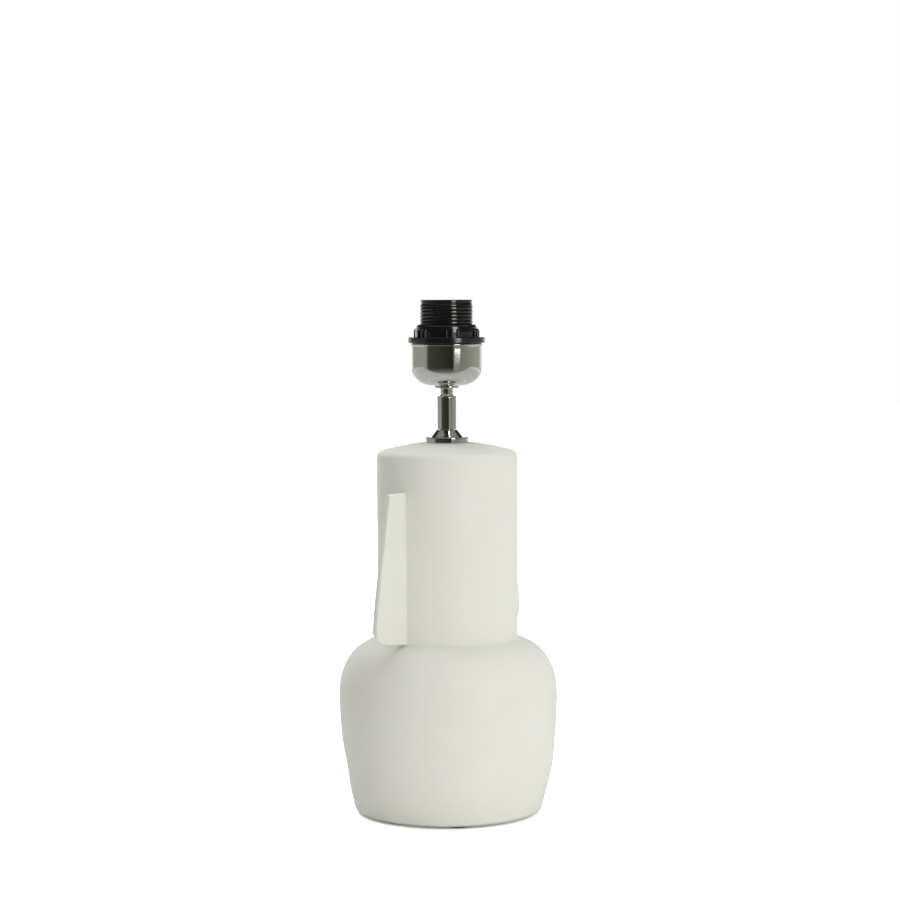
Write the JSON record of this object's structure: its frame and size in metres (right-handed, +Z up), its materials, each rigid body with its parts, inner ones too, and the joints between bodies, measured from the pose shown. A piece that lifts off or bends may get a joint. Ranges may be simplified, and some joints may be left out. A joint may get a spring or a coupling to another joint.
{
  "type": "table lamp base",
  "caption": "Table lamp base: matt ceramic body with a round belly, tall neck and upright fins, and a chrome ball-jointed lampholder with a black screw ring.",
  "frame": {"origin": "on the table, under the middle of the base", "axes": "+Z up along the neck; the fins stand along +X and -X; the front faces -Y and the cord leaves low at the back, at +Y"},
  "size_m": [0.1756, 0.1674, 0.3921],
  "materials": {
    "ceramic": "matt off-white slip-cast",
    "chrome": "bright polished",
    "black_plastic": "glossy moulded",
    "steel": "zinc plated",
    "brass": "plain",
    "felt": "pressed felt",
    "rubber": "matt",
    "steatite": "white steatite"
  },
  "bodies": {
    "base": {"ceramic_body": "ceramic", "cord_grommet": "rubber", "felt_pad_1": "felt", "felt_pad_2": "felt", "felt_pad_3": "felt", "felt_pad_4": "felt", "neck_cap": "chrome", "cap_gasket": "rubber", "clamp_washer": "steel", "lock_washer": "steel", "clamp_nut": "steel", "threaded_rod": "steel", "swivel_housing": "chrome", "seat_screw": "brass", "disc_spring": "steel"},
    "swivel": {"ball_seat": "brass"},
    "lampholder": {"ball_stem": "chrome", "stem_collar": "chrome", "holder_cup": "chrome", "entry_bush": "steel", "grub_screw": "steel", "earth_screw": "brass", "terminal_block": "steatite", "live_terminal": "brass", "neutral_terminal": "brass", "terminal_screw_1": "steel", "terminal_screw_2": "steel", "contact_rivet": "brass", "shell_rivet": "brass", "screw_shell": "brass", "holder_sleeve": "black_plastic"},
    "lamp_contact": {"centre_contact": "brass"},
    "shade_clamp": {"shade_ring": "black_plastic"}
  },
  "joints": [
    {"name": "holder_turn", "type": "hinge", "parent": "base", "child": "swivel", "pos_m": [0, 0, 0.3164], "axis": [0, 0, 1], "range_deg": [-170, 170]},
    {"name": "holder_tilt", "type": "hinge", "parent": "swivel", "child": "lampholder", "pos_m": [0, 0, 0.3164], "axis": [1, 0, 0], "range_deg": [-18, 18]},
    {"name": "contact_press", "type": "hinge", "parent": "lampholder", "child": "lamp_contact", "pos_m": [0.0048, 0, 0.3524], "axis": [0, -1, 0], "range_deg": [0, 8], "stiffness_Nm_per_rad": 0.5},
    {"name": "shade_ring_lift", "type": "slide", "parent": "lampholder", "child": "shade_clamp", "axis": [0, 0, 1], "range_m": [0, 0.045]}
  ]
}
